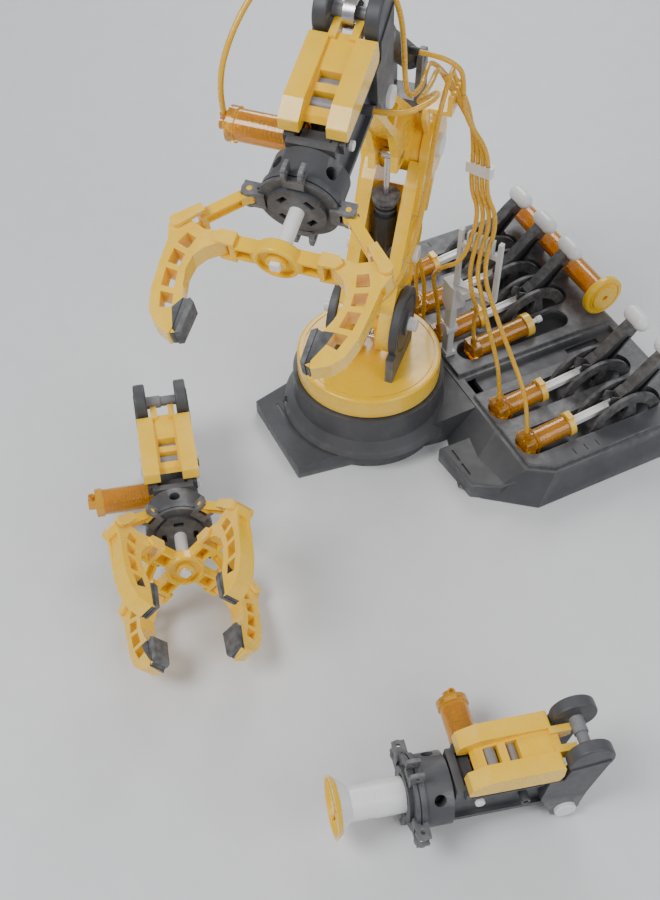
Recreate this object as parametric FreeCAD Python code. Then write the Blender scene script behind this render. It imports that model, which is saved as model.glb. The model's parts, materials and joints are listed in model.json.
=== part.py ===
import FreeCAD, Part
import math
import os

# Hydraulic arm kit: a syringe-driven tabletop arm on a lever base, with its three heads.
# Millimetres. +Z up, origin on the floor under the turntable's axis, +Y towards the levers.
# The arm is drawn in its own upright plane (x across, -y forward) and turned by arm_yaw.
# A wrist unit is drawn with its pivot at (0, 0, 0), its nose along -y and its cover on top.

V = FreeCAD.Vector
X_AXIS = V(1, 0, 0)
Y_AXIS = V(0, 1, 0)
Z_AXIS = V(0, 0, 1)

# ---- base
nose_front = -94.0
nose_half = 46.0
waist_half = 66.0
waist_y = 43.0
nose_height = 13.6
waist_height = 30.0
deck_front = 78.0
deck_back = 262.0
deck_far = -160.0
deck_near = 165.0
deck_height = 32.0
panel_thick = 3.0
panel_top = deck_height + panel_thick
trough_floor = 23.0
trough_half = 14.0
trough_y = (84.0, 236.0)
wall = 3.0
boss_radius = 69.0
boss_top = 60.0
valley_x = (27.0, 55.0)

# ---- levers and their cylinders
far_columns = (-116.0, -72.0, -28.0)
near_columns = (81.0, 127.0)
lever_columns = far_columns + near_columns
lever_pivot = (196.0, 40.0)
guard_centre = (193.0, 20.0)
guard_outer = 40.0
guard_inner = 29.5
guard_gap = 9.0
guard_thick = 3.4
cylinder_front = 88.0
cylinder_z = 34.5
cylinder_tilt = 6.5
master_radius = 9.4
pump_x = 3.0
pump_shift = 20.0
tube_wall = 1.3
fit = 0.06
reservoir_axis = (249.0, 57.0)
reservoir_radius = 11.0
reservoir_ends = (-142.0, 10.0)

# ---- slewing gear
gear_module = 1.0
gear_teeth = 12
gear_pitch = gear_module * gear_teeth / 2
gear_z = (34.0, 41.0)
shaft_radius = 7.9
post_radius = 2.5
rack_back = gear_pitch + 6.0
slew_y = 25.0
slew_z = 40.0

# ---- arm
arm_yaw = 44.4
turntable_radius = 65.0
turntable_z = (62.0, 82.0)
shoulder = (3.0, 122.0)
elbow = (80.0, 255.0)
wrist = (-56.0, 385.0)
wrist_tilt = 16.9
cheek_inner = 13.0
cheek_outer = 24.0
drum_half = 20.5
disc_radius = 32.0
disc_x = (24.6, 32.0)
pin_radius = 6.0
slave_y = 33.0
slave_z = 96.0
elbow_pin_z = 272.0
mast_head = (75.0, 335.0)

# ---- loose heads on the floor: nose lift, heading and pivot position
grapple_lean = 9.4
grapple_yaw = 74.4
grapple_at = (-12.0, -195.0)
sucker_lean = 3.1
sucker_yaw = -14.0
sucker_at = (398.0, -53.0)

# ---- wrist unit and heads
axis_z = 21.0
ear_rod = (8.1, 64.6)
ear_radius = 17.0
eye_slot = 5.0
plate_x = (16.8, 23.6)
ear_pin_y = -113.6
ear_pin_x = 33.4
barrel_radius = 26.0
joint_y = -150.0
joint_x = 69.2
claw_y = -153.6
claw_x = 38.3
claw_half = 7.0
hose_radius = 2.0
port_radius = hose_radius + 0.1
hose_gap = 0.3
comb_slots = (-15.0, -9.0, -3.0, 3.0, 9.0, 15.0)
clip_z = 247.0
bracket_slots = (80.0, 74.0, 68.0, 60.0)


def box(x0, x1, y0, y1, z0, z1):
    return Part.makeBox(x1 - x0, y1 - y0, z1 - z0, V(x0, y0, z0))


def rod(radius, start, end):
    a = V(*start)
    b = V(*end)
    return Part.makeCylinder(radius, (b - a).Length, a, b - a)


def tube(outer, inner, start, end):
    return rod(outer, start, end).cut(rod(inner, start, end))


def slab(points, axis, low, high):
    """A flat outline, given in the other two axes, extruded along x, y or z."""
    if axis == "x":
        corners = [V(low, a, b) for a, b in points]
        along = X_AXIS
    elif axis == "y":
        corners = [V(a, low, b) for a, b in points]
        along = Y_AXIS
    else:
        corners = [V(a, b, low) for a, b in points]
        along = Z_AXIS
    return Part.Face(Part.makePolygon(corners + corners[:1])).extrude(along * (high - low))


def fused(shapes):
    return shapes[0].multiFuse(shapes[1:]).removeSplitter() if len(shapes) > 1 else shapes[0]


def rounded(shape, radius, axis):
    """Round every straight edge that runs along one axis."""
    picked = []
    for edge in shape.Edges:
        if not isinstance(edge.Curve, (Part.Line, Part.LineSegment)):
            continue
        direction = edge.Vertexes[1].Point.sub(edge.Vertexes[0].Point)
        if direction.Length > 0.5 and direction.normalize().cross(axis).Length < 0.001:
            picked.append(edge)
    return shape.makeFillet(radius, picked)


def rims(shape, radius, test):
    """Round the edges whose middle passes a test."""
    picked = [e for e in shape.Edges if test(e.CenterOfMass)]
    return shape.makeFillet(radius, picked)


def stadium(x, y0, y1, half, z0, z1):
    middle = box(x - half, x + half, y0 + half, y1 - half, z0, z1)
    front = rod(half, (x, y0 + half, z0), (x, y0 + half, z1))
    back = rod(half, (x, y1 - half, z0), (x, y1 - half, z1))
    return fused([middle, front, back])


def turned(shapes, angle, axis=Z_AXIS, centre=(0, 0, 0)):
    copies = [s.copy() for s in shapes]
    for s in copies:
        s.rotate(V(*centre), axis, angle)
    return copies


def moved(shapes, offset):
    copies = [s.copy() for s in shapes]
    for s in copies:
        s.translate(V(*offset))
    return copies


def mirrored(shape):
    return shape.mirror(V(0, 0, 0), X_AXIS)


def smooth_route(points):
    """A path of straight runs joined by the largest tangent arcs that their runs allow."""
    spots = [V(*p) for p in points]
    edges = []
    radii = []
    last = spots[0]
    for before, corner, after in zip(spots, spots[1:], spots[2:]):
        back = before - corner
        ahead = after - corner
        reach = 0.45 * min(back.Length, ahead.Length)
        back.normalize()
        ahead.normalize()
        half_turn = (math.pi - back.getAngle(ahead)) / 2
        radii.append(reach / math.tan(half_turn))
        bisector = (back + ahead).normalize()
        middle = corner + bisector * (radii[-1] / math.cos(half_turn) - radii[-1])
        start = corner + back * reach
        end = corner + ahead * reach
        edges.append(Part.LineSegment(last, start).toShape())
        edges.append(Part.Arc(start, middle, end).toShape())
        last = end
    edges.append(Part.LineSegment(last, spots[-1]).toShape())
    return Part.Wire(edges), radii


def hose(name, points):
    path, radii = smooth_route(points)
    start = path.Edges[0]
    direction = start.tangentAt(start.FirstParameter)
    ring = Part.Wire(Part.makeCircle(hose_radius, V(*points[0]), direction))
    solid = path.makePipeShell([ring], True, False)
    expected = math.pi * hose_radius ** 2 * path.Length
    text = ", ".join("%.0f" % r for r in radii)
    print("%s: length %.0f, volume ratio %.3f, radii %s" % (name, path.Length, solid.Volume / expected, text))
    return solid


# ---------------------------------------------------------------- base

def nose_body(inset):
    """The wedge nose: narrow and low at the front, wider and higher at the waist."""
    plan = [(-nose_half + inset, nose_front + inset), (nose_half - inset, nose_front + inset),
            (waist_half - inset, waist_y), (waist_half - inset, deck_front + 20),
            (-waist_half + inset, deck_front + 20), (-waist_half + inset, waist_y)]
    side = [(nose_front, 0), (nose_front, nose_height - inset), (waist_y, waist_height - inset),
            (deck_front + 20, deck_height - inset), (deck_front + 20, 0)]
    wide = waist_half + 5
    return slab(plan, "z", 0, deck_height + 5).common(slab(side, "x", -wide, wide))


def deck_body(inset, height):
    bottom = [(-66, 52), (-120, 40), (-140, 46), (-168, 82), (-168, deck_back), (172, deck_back),
              (172, 82), (140, 42), (120, 30), (66, 50)]
    top = [(-66, deck_front), (-100, deck_front), (-130, deck_front), (deck_far, 96), (deck_far, deck_back - 4),
           (deck_near, deck_back - 4), (deck_near, 100), (150, deck_front), (100, deck_front), (66, deck_front)]
    low = Part.makePolygon([V(a, b, 0) for a, b in bottom + bottom[:1]])
    high = Part.makePolygon([V(a, b, height) for a, b in top + top[:1]])
    body = Part.makeLoft([low, high], True, True)
    if inset:
        body = body.common(box(deck_far + inset, deck_near - inset, deck_front + 8, deck_back - 8, -1, height))
    return body


def troughs(z0, z1, grow=0.0):
    cuts = [stadium(x, trough_y[0], trough_y[1], trough_half + grow, z0, z1) for x in lever_columns]
    cuts.append(stadium(pump_x, trough_y[0] + 12, trough_y[1] - 18, trough_half - 2 + grow, z0, z1))
    return cuts


def base_housing():
    foot = slab([(84, 30), (134, 34), (148, 56), (148, 90), (84, 90)], "z", 0, 17)
    foot = rims(foot, 2.0, lambda c: c.z > 16.9)
    outer = fused([nose_body(0), deck_body(0, deck_height), foot, mirrored(foot),
                   Part.makeCone(78, boss_radius, 14, V(0, 0, 20)),
                   rod(boss_radius, (0, 0, 0), (0, 0, boss_top)),
                   tube(14, shaft_radius + 0.4, (0, 0, boss_top - 1), (0, 0, boss_top + 1.9))])
    cuts = [nose_body(wall), rod(boss_radius - wall, (0, 0, 0), (0, 0, boss_top - wall)),
            rod(shaft_radius + 0.4, (0, 0, 50), (0, 0, 65)),
            deck_body(8, 20)]
    cuts += troughs(trough_floor, 40)
    valley = slab([(valley_x[0], 40), (valley_x[0] + 7, 26), (valley_x[1] - 4, 26), (valley_x[1], 40)], "y", 86, 250)
    cuts.append(valley)
    cuts.append(box(valley_x[0] + 9, valley_x[0] + 15, 196, 232, 22.5, 40))
    for x in (98.0, 116.0, -98.0, -116.0):
        cuts.append(box(x - 7, x + 7, 38, 40, 15.5, 20))
    for shift in (-8.0, 0.0, 8.0):
        cuts.append(box(-33, -15, -72 + shift, -69 + shift, 15, 24))
    return outer.cut(cuts)


def bottom_cover():
    gap = wall + 0.3
    plate = nose_body(gap).common(box(-100, 100, -100, deck_front, 0, 2.4))
    rear = box(deck_far + 8.5, deck_near - 8.5, deck_front + 8.4, deck_back - 8.4, 0, 2.4)
    ring = rod(boss_radius - gap, (0, 0, 0), (0, 0, 2.4))
    post = rod(6.0, (0, 0, 2.3), (0, 0, 28.0)).fuse(rod(post_radius, (0, 0, 27), (0, 0, 36)))
    rail = box(-48, 48, rack_back + 0.3, rack_back + 3.3, 2.3, 36)
    saddle = box(-50, -20, slew_y - 4, slew_y + 4, 2.3, slew_z).cut(rod(8.05, (-60, slew_y, slew_z), (0, slew_y, slew_z)))
    return fused([plate, rear, ring, post, rail, saddle])


def deck_panels():
    z0, z1 = deck_height, panel_top
    far = slab([(deck_far + 4, 98), (-128, 82), (valley_x[0], 82), (valley_x[0], deck_back - 8),
                (deck_far + 4, deck_back - 8)], "z", z0, z1)
    near = slab([(valley_x[1], 82), (148, 82), (deck_near - 4, 102), (deck_near - 4, deck_back - 8),
                 (valley_x[1], deck_back - 8)], "z", z0, z1)
    cuts = troughs(z0 - 1, z1 + 1, 0.8)
    for y in (126, 138, 150):
        cuts.append(box(150, 157, y, y + 1.2, z1 - 0.6, z1 + 1))
        cuts.append(box(-152, -145, y, y + 1.2, z1 - 0.6, z1 + 1))
    cuts.append(rod(port_radius, (-50, 87, z0 - 1), (-50, 87, z1 + 1)))
    panels = []
    for plate in (far, near):
        plate = rims(plate, 0.9, lambda c: c.z > z1 - 0.01)
        panels.append(plate.cut(cuts))
    y, z = reservoir_axis
    for x in (-94.0, -50.0):
        saddle = box(x - 6, x + 6, y - 13, y + 4, z1, z - 4)
        panels.append(saddle.cut(rod(reservoir_radius + 0.1, (x - 9, y, z), (x + 9, y, z))))
    return panels


def lever_guards():
    plates = []
    seat = base_housing()
    y, z = guard_centre
    for x in lever_columns:
        for side in (-1, 1):
            inner = x + side * guard_gap
            outer = x + side * (guard_gap + guard_thick)
            low, high = min(inner, outer), max(inner, outer)
            arch = tube(guard_outer, guard_inner, (low, y, z), (high, y, z))
            arch = arch.common(box(low - 1, high + 1, y - 60, y + 60, trough_floor, 100))
            post = slab([(y - 7, trough_floor), (y + 12, trough_floor), (y + 8, 46), (y - 1, 46)], "x", low, high)
            spoke = box(low, high, y - 1, y + 8, 40, 58)
            plate = fused([arch, post, spoke])
            hole = rod(3.0 + fit, (low - 1, lever_pivot[0], lever_pivot[1]), (high + 1, lever_pivot[0], lever_pivot[1]))
            plates.append(plate.cut([hole, seat]))
    return plates


def lever(x):
    """Channel-shaped arm with a fork that straddles the push rod, a pivot pin and a round-ended knob."""
    y, z = lever_pivot
    half = 5.6
    arm = [(y - 4, z - 2), (y - 3, z + 17), (y + 24, z + 43), (y + 34, z + 51), (y + 40, z + 44),
           (y + 16, z + 14), (y + 6, z - 2)]
    body = rounded(slab(arm, "x", x - half, x + half), 1.6, X_AXIS)
    boss = rod(8.0, (x - half, y, z), (x + half, y, z))
    hook = [(y - 2, z + 20), (y - 10, z + 15), (y - 19, z + 20), (y - 21, z + 13), (y - 17, z - 2),
            (y - 12, z - 2), (y - 10, z + 8), (y - 2, z + 6)]
    body = fused([body, boss, slab(hook, "x", x - half, x + half)])
    web = [(y + 3, z + 12), (y + 26, z + 36), (y + 30, z + 36), (y + 12, z + 12)]
    pockets = [slab(web, "x", x - half - 1, x - 2.2), slab(web, "x", x + 2.2, x + half + 1),
               box(x - 4.0, x + 4.0, y - 30, y - 9, z - 6, z + 25)]
    body = body.cut(pockets + [rod(3.0, (x - 20, y, z), (x + 20, y, z))])
    pin = rod(3.0, (x - guard_gap - guard_thick, y, z), (x + guard_gap + guard_thick, y, z))
    knob_y, knob_z = y + 38, z + 50
    knob = fused([rod(8.0, (x - 7, knob_y, knob_z), (x + 7, knob_y, knob_z)),
                  Part.makeSphere(8.0, V(x - 7, knob_y, knob_z)), Part.makeSphere(8.0, V(x + 7, knob_y, knob_z))])
    return [body.cut(knob), pin, knob]


def tilted(shapes, x, y):
    """Put a cylinder drawn along +Y from the origin into its trough, nose down."""
    return moved(turned(shapes, cylinder_tilt, X_AXIS), (x, y, cylinder_z))


def master_cylinder(x, y):
    block = rounded(box(-9.6, 9.6, 0, 9, -9.6, 9.6), 1.5, Y_AXIS)
    barrel = rod(master_radius, (0, 8, 0), (0, 46, 0))
    hub = rod(4.6, (0, 5, 8), (0, 5, 12))
    nozzle = rod(3.0, (0, 5, 11), (0, 5, 17))
    flange = box(-9.6, 9.6, 12, 13.6, -9.6, 9.6)
    body = fused([block, barrel, hub, nozzle, flange])
    bore = rod(master_radius - tube_wall, (0, 11, 0), (0, 47, 0))
    port = rod(port_radius, (0, 5, 13), (0, 5, 18))
    return tilted([body.cut([bore, port])], x, y)


def collar(x, y):
    ring = rod(11.0, (0, 46, 0), (0, 51.5, 0))
    tab = box(-4.5, 4.5, 46, 51.5, 8, 13)
    window = box(-4.0, 4.0, 40, 60, -3.0, 3.0)
    return tilted([fused([ring, tab]).cut(window)], x, y)


def push_rod(x, y):
    piston = rod(master_radius - tube_wall - fit, (0, 22, 0), (0, 28, 0))
    bar = box(-3.7, 3.7, 28, 96, -2.6, 2.6)
    grooves = [box(-2.0, 2.0, 56, 90, 1.6, 3), box(-2.0, 2.0, 56, 90, -3, -1.6)]
    eye = rod(1.6, (0, 93, -4), (0, 93, 4))
    return tilted([fused([piston, bar]).cut(grooves + [eye])], x, y)


def pump_plunger(x, y):
    piston = rod(master_radius - tube_wall - fit, (0, 26, 0), (0, 31, 0))
    stem = rod(2.4, (0, 31, 0), (0, 75, 0))
    button = rod(3.4, (0, 75, 0), (0, 80, 0))
    return tilted([fused([piston, stem, button])], x, y)


def pump_body(x, y):
    block = rounded(box(-9.2, 9.2, 0, 9, -9.2, 9.2), 1.5, Y_AXIS)
    barrel = rod(master_radius, (0, 8, 0), (0, 60, 0))
    nozzle = rod(3.0, (0, 5, 9), (0, 5, 16))
    body = fused([block, barrel, nozzle])
    bore = rod(master_radius - tube_wall, (0, 11, 0), (0, 61, 0))
    return tilted([body.cut([bore, rod(port_radius, (0, 5, 12), (0, 5, 17))])], x, y)


def pump_collar(x, y):
    ring = rod(11.4, (0, 60, 0), (0, 67, 0)).cut(rod(3.0, (0, 59, 0), (0, 68, 0)))
    return tilted([ring], x, y)


def reservoir_tube():
    y, z = reservoir_axis
    x0, x1 = reservoir_ends
    outer = rod(reservoir_radius, (x0, y, z), (x1, y, z))
    return outer.cut(rod(reservoir_radius - tube_wall, (x0 + 3, y, z), (x1 + 1, y, z)))


def reservoir_cap():
    y, z = reservoir_axis
    x1 = reservoir_ends[1]
    wheel = rod(21.0, (x1, y, z), (x1 + 7, y, z))
    wheel = rims(wheel, 2.0, lambda c: True)
    step = rod(13.0, (x1 + 7, y, z), (x1 + 8.5, y, z))
    cap = fused([wheel, step])
    ring = tube(16.5, 15.5, (x1 + 6, y, z), (x1 + 8, y, z))
    return cap.cut([ring, rod(3.0, (x1 + 3, y, z), (x1 + 9, y, z))])


def rack_outline(length):
    """Rack teeth that point at the pinion, with the pitch line at y = gear_pitch."""
    step = math.pi * gear_module
    tip = gear_pitch - 0.9 * gear_module
    root = gear_pitch + 1.35 * gear_module
    count = int(length / step / 2)
    points = []
    for k in range(-count, count):
        centre = (k + 0.5) * step
        points += [(centre - 0.30 * step, root), (centre - 0.13 * step, tip),
                   (centre + 0.13 * step, tip), (centre + 0.30 * step, root)]
    end = count * step
    return [(-end, root)] + points + [(end, root), (end, rack_back), (-end, rack_back)]


def slew_rack():
    rack = slab(rack_outline(46.0), "z", gear_z[0] - 1, gear_z[1] + 1)
    lug = box(-4, 4, rack_back - 1, slew_y + 4, 37, gear_z[1] + 1)
    stem = rod(2.2, (-36, slew_y, slew_z), (-3, slew_y, slew_z))
    piston = rod(8.0 - tube_wall - fit, (-41, slew_y, slew_z), (-36, slew_y, slew_z))
    return fused([rack, lug, stem, piston])


def slew_cylinder():
    body = rod(8.0, (-54, slew_y, slew_z), (-15, slew_y, slew_z))
    return body.cut(rod(8.0 - tube_wall, (-51, slew_y, slew_z), (-14, slew_y, slew_z)))


def slew_pinion():
    root = gear_pitch - 1.35 * gear_module
    tip = gear_pitch + 0.9 * gear_module
    tooth_root = 0.30 * math.pi * gear_module
    tooth_tip = 0.13 * math.pi * gear_module
    outline = [(-tooth_root, root - 1), (tooth_root, root - 1), (tooth_tip, tip), (-tooth_tip, tip)]
    teeth = []
    for k in range(gear_teeth):
        tooth = slab(outline, "z", gear_z[0], gear_z[1])
        tooth.rotate(V(0, 0, 0), Z_AXIS, 360.0 * k / gear_teeth)
        teeth.append(tooth)
    disc = rod(root, (0, 0, gear_z[0]), (0, 0, gear_z[1]))
    neck = rod(root, (0, 0, 30), (0, 0, gear_z[1] + 3))
    shaft = rod(shaft_radius, (0, 0, gear_z[1] + 2), (0, 0, turntable_z[0]))
    socket = rod(post_radius + fit, (0, 0, 20), (0, 0, 38))
    return fused([disc, neck, shaft] + teeth).cut(socket)


def hose_stand():
    """Foot, two knuckles and an upright comb frame that carries the hoses."""
    x, y = -6.0, 88.5
    foot = box(x - 9, x + 7, y - 5, y + 5, panel_top, panel_top + 4)
    post = rounded(box(x - 5, x + 5, y - 3.5, y + 3.5, panel_top + 4, 66), 1.2, Z_AXIS)
    low = rod(6.0, (x, y - 6, 66), (x, y + 6, 66))
    link = rounded(box(x - 5, x + 5, y - 3.5, y + 3.5, 66, 98), 1.2, Z_AXIS)
    high = rod(6.0, (x, y - 6, 98), (x, y + 6, 98))
    block = rounded(box(x - 8, x + 12, y - 7, y + 7, 100, 124), 2.0, Z_AXIS)
    slot = box(x - 9, x - 4, y - 2.5, y + 2.5, 46, 62)
    frame = box(-21, 21, -2.5, 2.5, 0, 66)
    window = box(-17, 17, -5, 5, 5, 48)
    teeth = [box(s - 2.3, s + 2.3, -5, 5, 53, 70) for s in comb_slots]
    comb = frame.cut([window] + teeth)
    comb.rotate(V(0, 0, 0), Z_AXIS, 30)
    comb.translate(V(16, 97, 122))
    bracket = box(2, 14, y - 3, y + 6, 116, 124)
    return fused([foot, post, low, link, high, block, bracket, comb]).cut([slot])


# ---------------------------------------------------------------- arm

def along(a, b, distance, offset=0.0):
    """A point in an upright plane, measured along a line and square to it, positive to the left of its run."""
    length = math.hypot(b[0] - a[0], b[1] - a[1])
    dy, dz = (b[0] - a[0]) / length, (b[1] - a[1]) / length
    return (a[0] + dy * distance - dz * offset, a[1] + dz * distance + dy * offset)


def turntable():
    z0, z1 = turntable_z
    disc = rims(rod(turntable_radius, (0, 0, z0), (0, 0, z1)), 2.2, lambda c: c.z > z1 - 0.1)
    hollow = tube(61.5, 14, (0, 0, z0 - 1), (0, 0, z1 - 4))
    groove = tube(59.6, 58.6, (0, 0, z1 - 0.8), (0, 0, z1 + 1))
    return disc.cut([hollow, groove])


def shoulder_bracket():
    y, z = shoulder
    floor = turntable_z[1]
    sides = []
    for side in (-1, 1):
        low, high = sorted((side * disc_x[0], side * disc_x[1]))
        disc = rims(rod(disc_radius, (low, y, z), (high, y, z)), 1.5, lambda c: True)
        base = box(low, high, y - 24, y + 24, floor, z - 12)
        lug = rounded(box(low, high, y - 37, y - 22, floor, z - 14), 1.5, Z_AXIS)
        hub = rod(11.0, (min(side * disc_x[1], side * 34.5), y, z), (max(side * disc_x[1], side * 34.5), y, z))
        hole = rod(pin_radius + fit, (low - 5, y, z), (high + 5, y, z))
        groove = tube(26.0, 24.5, (side * 31.2, y, z), (side * 33.0, y, z))
        sides.append(fused([disc, base, lug, hub]).cut([hole, groove]))
    return sides


def shoulder_slave():
    y = shoulder[0]
    body = rod(8.0, (0, 30, slave_z), (0, 62, slave_z))
    feet = box(-8, 8, 36, 42, turntable_z[1], slave_z - 4)
    back = box(-8, 8, 56, 62, turntable_z[1], slave_z + 4)
    bore = rod(8.0 - tube_wall, (0, 29, slave_z), (0, 55, slave_z))
    nozzle = rod(3.0, (0, 57.5, slave_z), (0, 57.5, slave_z + 16))
    port = rod(port_radius, (0, 57.5, slave_z + 11), (0, 57.5, slave_z + 17))
    return fused([body, feet, back, nozzle]).cut([bore, port])


def shoulder_rod():
    y = shoulder[0]
    piston = rod(8.0 - tube_wall - fit, (0, 34, slave_z), (0, 38, slave_z))
    stem = rod(2.5, (0, y, slave_z), (0, 35, slave_z))
    pin = rod(2.0, (-9.5, y, slave_z), (9.5, y, slave_z))
    return fused([piston, stem, pin])


def boom_side(side):
    """One cheek of the boom, with its round shoulder and elbow ends."""
    low, high = sorted((side * cheek_inner, side * cheek_outer))
    cap_low, cap_high = sorted((side * 21.0, side * 30.0))
    outline = [along(shoulder, elbow, -8, 26), along(shoulder, elbow, 60, 29), along(shoulder, elbow, 118, 27),
               along(shoulder, elbow, 153, 20), along(shoulder, elbow, 153, -20), along(shoulder, elbow, 110, -29),
               along(shoulder, elbow, 82, -24), along(shoulder, elbow, 60, -30), along(shoulder, elbow, 0, -28),
               along(shoulder, elbow, -14, -10)]
    plate = rounded(slab(outline, "x", low, high), 5.0, X_AXIS)
    foot = rod(28.5, (low, shoulder[0], shoulder[1]), (high, shoulder[0], shoulder[1]))
    head = rod(28.0, (cap_low, elbow[0], elbow[1]), (cap_high, elbow[0], elbow[1]))
    head = rims(head, 3.0, lambda c: abs(c.x) > 29)
    swell_centre = along(shoulder, elbow, 74, 0)
    swell_high = sorted((side * 23.0, side * 27.5))
    swell = rod(17.0, (swell_high[0], swell_centre[0], swell_centre[1]), (swell_high[1], swell_centre[0], swell_centre[1]))
    swell = rims(swell, 2.5, lambda c: abs(c.x) > 27)
    neck = slab([along(shoulder, elbow, 96, 20), along(shoulder, elbow, 140, 24), along(shoulder, elbow, 140, -24),
                 along(shoulder, elbow, 96, -20)], "x", min(side * 21.0, side * 27.5), max(side * 21.0, side * 27.5))
    body = fused([plate, foot, head, swell, neck])
    room = rod(27.0, (-20.9, elbow[0], elbow[1]), (20.9, elbow[0], elbow[1]))
    panel = slab([along(shoulder, elbow, 92, 14), along(shoulder, elbow, 124, 16), along(shoulder, elbow, 124, -16),
                  along(shoulder, elbow, 92, -14)], "x", min(side * 26.3, side * 32), max(side * 26.3, side * 32))
    lower = slab([along(shoulder, elbow, 30, 20), along(shoulder, elbow, 50, 20), along(shoulder, elbow, 50, -22),
                  along(shoulder, elbow, 30, -22)], "x", min(side * 22.8, side * 32), max(side * 22.8, side * 32))
    holes = [rod(pin_radius, (side * 10, p[0], p[1]), (side * 40, p[0], p[1])) for p in (shoulder, elbow)]
    holes.append(rod(5.0, (side * 10, slave_y, 175), (side * 40, slave_y, 175)))
    return body.cut([room, panel, lower] + holes)


def boom_shells():
    rear = slab([along(shoulder, elbow, 22, -28), along(shoulder, elbow, 112, -28), along(shoulder, elbow, 112, -23),
                 along(shoulder, elbow, 22, -23)], "x", -cheek_inner - 1, cheek_inner + 1)
    y, z = shoulder
    hub = tube(12.0, pin_radius, (-cheek_inner - 1, y, z), (cheek_inner + 1, y, z))
    heel = []
    for side in (-1, 1):
        x0, x1 = sorted((side * 5.0, side * 8.6))
        tongue = slab([(y - 8, z - 4), (y + 8, z - 4), (y + 5.5, z - 35), (y - 5.5, z - 35)], "x", x0, x1)
        slot = fused([rod(2.9, (x0 - 1, y, z - 26), (x1 + 1, y, z - 26)), rod(2.9, (x0 - 1, y, z - 32), (x1 + 1, y, z - 32)),
                      box(x0 - 1, x1 + 1, y - 2.9, y + 2.9, z - 32, z - 26)])
        heel.append(tongue.cut(slot).cut(rod(pin_radius, (x0 - 1, y, z), (x1 + 1, y, z))))
    front = slab([along(shoulder, elbow, 6, 22), along(shoulder, elbow, 24, 25), along(shoulder, elbow, 24, 20),
                  along(shoulder, elbow, 6, 17)], "x", -cheek_inner - 1, cheek_inner + 1)
    return fused([boom_side(-1), boom_side(1), rear, front, hub] + heel)


def boom_pins():
    """Shoulder and elbow pins, and two stubs that hold the elbow cylinder."""
    pins = [rod(pin_radius, (-42, shoulder[0], shoulder[1]), (42, shoulder[0], shoulder[1]))]
    capped = [(elbow[0], elbow[1], 0.0, 30.0, pin_radius, 10.0), (slave_y, 175.0, 9.0, 27.6, 5.0, 7.5)]
    for y, z, inner, outer, radius, head in capped:
        halves = []
        for side in (-1, 1):
            pin = rod(radius, (side * inner, y, z), (side * outer, y, z))
            cap = rod(head, (side * outer, y, z), (side * (outer + 4.0), y, z))
            halves.append(pin.fuse(rims(cap, 1.2, lambda c, h=outer: abs(c.x) > h + 3.9)))
        pins += [fused(halves)] if inner == 0 else halves
    return pins


def elbow_slave():
    y = slave_y
    body = rod(10.0, (0, y, 150), (0, y, 212))
    trunnion = rod(9.0, (-12.9, y, 175), (12.9, y, 175))
    neck = rod(8.0, (0, y, 212), (0, y, 224))
    ribs = [rod(9.5, (0, y, z), (0, y, z + 2.5)) for z in (217.0, 222.0)]
    collar_disc = rod(12.0, (0, y, 227), (0, y, 232))
    neck_top = rod(6.5, (0, y, 224), (0, y, 227))
    nozzle = rod(3.2, (0, y - 16, 160), (0, y - 8.8, 160))
    whole = fused([body, trunnion, neck, neck_top, collar_disc, nozzle] + ribs)
    cuts = [rod(8.6, (0, y, 152), (0, y, 211)), rod(2.6, (0, y, 205), (0, y, 240)),
            rod(5.0 + fit, (-13, y, 175), (-8, y, 175)), rod(5.0 + fit, (8, y, 175), (13, y, 175)),
            rod(port_radius, (0, y - 17, 160), (0, y - 12.5, 160))]
    return whole.cut(cuts)


def elbow_rod():
    y = slave_y
    piston = rod(8.54, (0, y, 189), (0, y, 196))
    stem = rod(2.5, (0, y, 196), (0, y, elbow_pin_z))
    eye = rod(4.6, (-4.4, y, elbow_pin_z), (4.4, y, elbow_pin_z))
    pin = rod(2.0, (-12.2, y, elbow_pin_z), (12.2, y, elbow_pin_z))
    return fused([piston, stem, eye, pin])


def hose_bracket():
    """A slotted arm on the right cheek of the boom that gathers the hoses."""
    y, z = elbow
    foot = slab([(y - 16, z + 18), (y + 14, z + 20), (y + 10, z + 49), (y - 26, z + 49), (y - 30, z + 42)], "x", 21.0, 25.0)
    shelf = box(21, 44, y - 24, y + 10, z + 45, z + 49)
    comb = box(40, 44, y - 24, y + 10, z + 49, z + 63)
    slots = [box(39, 45, a - 2.4, a + 2.4, z + 51, z + 64) for a in bracket_slots]
    window = slab([(y - 12, z + 27), (y + 9, z + 28), (y + 6, z + 41), (y - 20, z + 41)], "x", 20, 26)
    return fused([foot, shelf, comb]).cut(slots + [window, rod(28.05, (20, y, z), (31, y, z))])


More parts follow.
